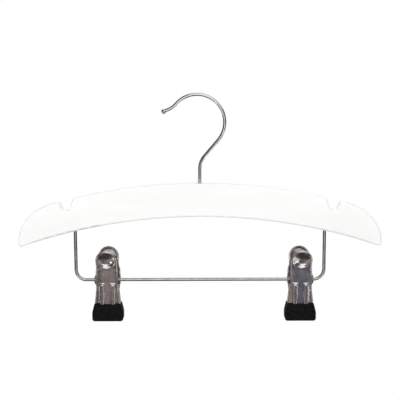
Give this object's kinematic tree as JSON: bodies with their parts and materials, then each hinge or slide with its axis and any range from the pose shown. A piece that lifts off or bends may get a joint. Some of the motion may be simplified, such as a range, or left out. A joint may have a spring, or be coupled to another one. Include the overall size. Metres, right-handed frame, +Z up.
{
  "type": "skirt hanger",
  "caption": "White wooden clothes hanger with strap notches, a swivel wire hook, and a wire trouser bar carrying sprung sliding clips with rubber grips.",
  "frame": {"origin": "on the axis of the hook's shank, on the inside of the crook, where the hanger rests on a rail", "axes": "+X to the right along the arm as seen from the front, +Y to the rear, +Z up along the shank"},
  "size_m": [0.3, 0.0248, 0.1895],
  "materials": {
    "white_paint": "white satin paint over wood",
    "chrome_wire": "bright chrome-plated wire",
    "swivel_steel": "plain zinc-plated steel",
    "rivet_steel": "nickel-plated hollow rivet",
    "spring_steel": "oiled spring wire",
    "clip_chrome": "chrome-plated stamped sheet",
    "grip_rubber": "matt black moulded rubber"
  },
  "bodies": {
    "hook": {"hook": "chrome_wire"},
    "hanger": {"arm": "white_paint", "hook_bush": "swivel_steel", "hook_washer": "swivel_steel", "trouser_bar": "chrome_wire"},
    "left_sleeve": {"left_hinge_sleeve": "rivet_steel"},
    "left_swing": {"left_spring": "spring_steel"},
    "left_front": {"left_front_jaw": "clip_chrome", "left_front_tip": "grip_rubber"},
    "left_rear": {"left_rear_jaw": "clip_chrome", "left_rear_tip": "grip_rubber"},
    "right_sleeve": {"right_hinge_sleeve": "rivet_steel"},
    "right_swing": {"right_spring": "spring_steel"},
    "right_front": {"right_front_jaw": "clip_chrome", "right_front_tip": "grip_rubber"},
    "right_rear": {"right_rear_jaw": "clip_chrome", "right_rear_tip": "grip_rubber"}
  },
  "joints": [
    {"name": "hook_swivel", "type": "hinge", "parent": "hook", "child": "hanger", "pos_m": [0, 0, -0.0711], "axis": [0, 0, 1], "continuous": true},
    {"name": "left_clip_slide", "type": "slide", "parent": "hanger", "child": "left_sleeve", "axis": [1, 0, 0], "range_m": [-0.0069, 0.0633]},
    {"name": "left_clip_swing", "type": "hinge", "parent": "left_sleeve", "child": "left_swing", "pos_m": [-0.0772, 0, -0.1522], "axis": [1, 0, 0], "continuous": true},
    {"name": "left_front_open", "type": "hinge", "parent": "left_swing", "child": "left_front", "pos_m": [-0.0772, 0, -0.1522], "axis": [-1, 0, 0], "range_deg": [0, 18], "stiffness_Nm_per_rad": 0.25, "springref_deg": -28.65, "deforming": ["left_spring"]},
    {"name": "left_rear_open", "type": "hinge", "parent": "left_swing", "child": "left_rear", "pos_m": [-0.0772, 0, -0.1522], "axis": [1, 0, 0], "range_deg": [0, 18], "stiffness_Nm_per_rad": 0.25, "springref_deg": -28.65},
    {"name": "right_clip_slide", "type": "slide", "parent": "hanger", "child": "right_sleeve", "axis": [1, 0, 0], "range_m": [-0.0699, 0.0003]},
    {"name": "right_clip_swing", "type": "hinge", "parent": "right_sleeve", "child": "right_swing", "pos_m": [0.0838, 0, -0.1522], "axis": [1, 0, 0], "continuous": true},
    {"name": "right_front_open", "type": "hinge", "parent": "right_swing", "child": "right_front", "pos_m": [0.0838, 0, -0.1522], "axis": [-1, 0, 0], "range_deg": [0, 18], "stiffness_Nm_per_rad": 0.25, "springref_deg": -28.65, "deforming": ["right_spring"]},
    {"name": "right_rear_open", "type": "hinge", "parent": "right_swing", "child": "right_rear", "pos_m": [0.0838, 0, -0.1522], "axis": [1, 0, 0], "range_deg": [0, 18], "stiffness_Nm_per_rad": 0.25, "springref_deg": -28.65}
  ],
  "couplings": [
    {"joint": "left_rear_open", "follows": "left_front_open", "ratio": 1},
    {"joint": "right_rear_open", "follows": "right_front_open", "ratio": 1}
  ]
}
